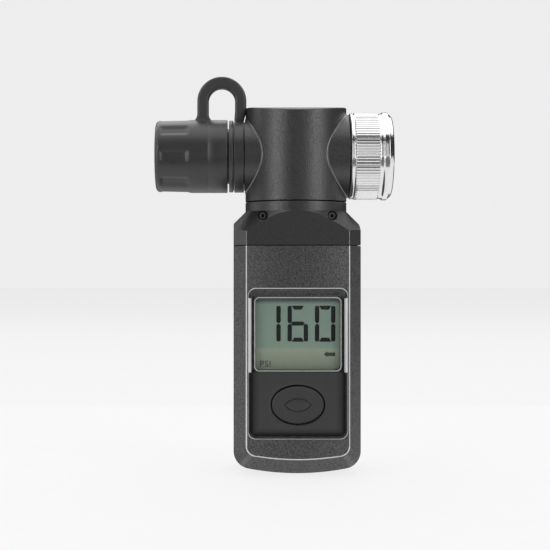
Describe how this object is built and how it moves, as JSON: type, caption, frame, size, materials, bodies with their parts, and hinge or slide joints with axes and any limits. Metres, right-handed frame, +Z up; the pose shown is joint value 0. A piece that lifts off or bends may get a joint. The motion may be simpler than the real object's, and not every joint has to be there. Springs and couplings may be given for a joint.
{
  "type": "inline shock pressure gauge",
  "caption": "Inline digital air-pressure gauge: flat body with display and button, swivelling head, capped pump port on a tether and a knurled screw-on chuck.",
  "frame": {"origin": "centre of the chuck's mouth, where the valve enters", "axes": "+X out of the chuck along its thread, +Z up the gauge from the body to the head, the display faces -Y"},
  "size_m": [0.0565, 0.0242, 0.0944],
  "materials": {
    "shell_black": "spark-eroded moulded grain",
    "housing_black": "spark-eroded moulded grain, slightly lighter",
    "cap_rubber": "smooth satin rubber",
    "keypad_rubber": "matt silicone",
    "button_plastic": "fine matt",
    "seal_rubber": "smooth",
    "chrome_plate": "bright plated",
    "brass_turned": "turned",
    "aluminium_turned": "turned",
    "spring_steel": "drawn wire and pressed sheet",
    "screw_black": "black oxide",
    "window_clear": "clear polished",
    "lcd_glass": "grey-green reflective display",
    "board_green": "solder mask",
    "chip_epoxy": "moulded epoxy",
    "cell_steel": "plated",
    "tray_nylon": "natural nylon",
    "socket_nylon": "glass-filled nylon",
    "washer_ptfe": "sheet",
    "sensor_steel": "drawn can"
  },
  "bodies": {
    "gauge_body": {"front_housing": "housing_black", "rear_housing": "housing_black", "shoulder_front": "shell_black", "shoulder_rear": "shell_black", "shoulder_screws": "screw_black", "case_screws": "screw_black", "display_window": "window_clear", "lcd_panel": "lcd_glass", "lcd_connector": "seal_rubber", "keypad_pad": "keypad_rubber", "dome_switch": "spring_steel", "circuit_board": "board_green", "control_chip": "chip_epoxy", "battery_tray": "tray_nylon", "coin_cell": "cell_steel", "battery_contacts": "spring_steel", "pressure_sensor": "sensor_steel", "sensor_seal": "seal_rubber", "swivel_socket": "socket_nylon"},
    "head": {"head_shell": "shell_black", "air_manifold": "aluminium_turned", "swivel_spigot": "brass_turned", "swivel_o_rings": "seal_rubber", "swivel_washer": "washer_ptfe", "port_hub": "shell_black", "pump_valve_stem": "brass_turned", "valve_core_body": "brass_turned", "valve_spring": "spring_steel", "chuck_seal": "seal_rubber", "valve_depressor": "brass_turned"},
    "collar": {"knurled_collar": "chrome_plate", "thread_insert": "brass_turned"},
    "tether": {"tether_ring": "cap_rubber", "tether_loop": "cap_rubber"},
    "cap": {"dust_cap": "cap_rubber"},
    "pin": {"valve_pin": "brass_turned"},
    "button": {"mode_button": "button_plastic"},
    "cover_seal": {"battery_cover_seal": "seal_rubber"},
    "cover": {"battery_cover": "housing_black"}
  },
  "joints": [
    {"name": "head_swivel", "type": "hinge", "parent": "gauge_body", "child": "head", "pos_m": [-0.0228, 0, 0], "axis": [0, 0, 1], "continuous": true},
    {"name": "collar_spin", "type": "hinge", "parent": "head", "child": "collar", "pos_m": [0, 0, 0], "axis": [1, 0, 0], "continuous": true},
    {"name": "tether_turn", "type": "hinge", "parent": "head", "child": "tether", "pos_m": [-0.0366, 0, 0], "axis": [1, 0, 0], "range_deg": [-120, 120]},
    {"name": "cap_pull", "type": "slide", "parent": "tether", "child": "cap", "axis": [-1, 0, 0], "range_m": [0, 0.012], "deforming": ["tether_loop"]},
    {"name": "valve_pin_press", "type": "slide", "parent": "head", "child": "pin", "axis": [1, 0, 0], "range_m": [0, 0.0012], "stiffness_N_per_m": 800, "springref_m": -0.0005, "deforming": ["valve_spring"]},
    {"name": "button_press", "type": "slide", "parent": "gauge_body", "child": "button", "axis": [0, 1, 0], "range_m": [0, 0.0006], "stiffness_N_per_m": 1200, "springref_m": -0.0004},
    {"name": "cover_lift", "type": "slide", "parent": "gauge_body", "child": "cover_seal", "axis": [0, 1, 0], "range_m": [0, 0.003]},
    {"name": "cover_turn", "type": "hinge", "parent": "cover_seal", "child": "cover", "pos_m": [-0.0228, 0.0121, -0.052], "axis": [0, 1, 0], "range_deg": [0, 720]}
  ],
  "couplings": [
    {"joint": "cover_lift", "follows": "cover_turn", "m_per_rad": 0.00023873}
  ]
}
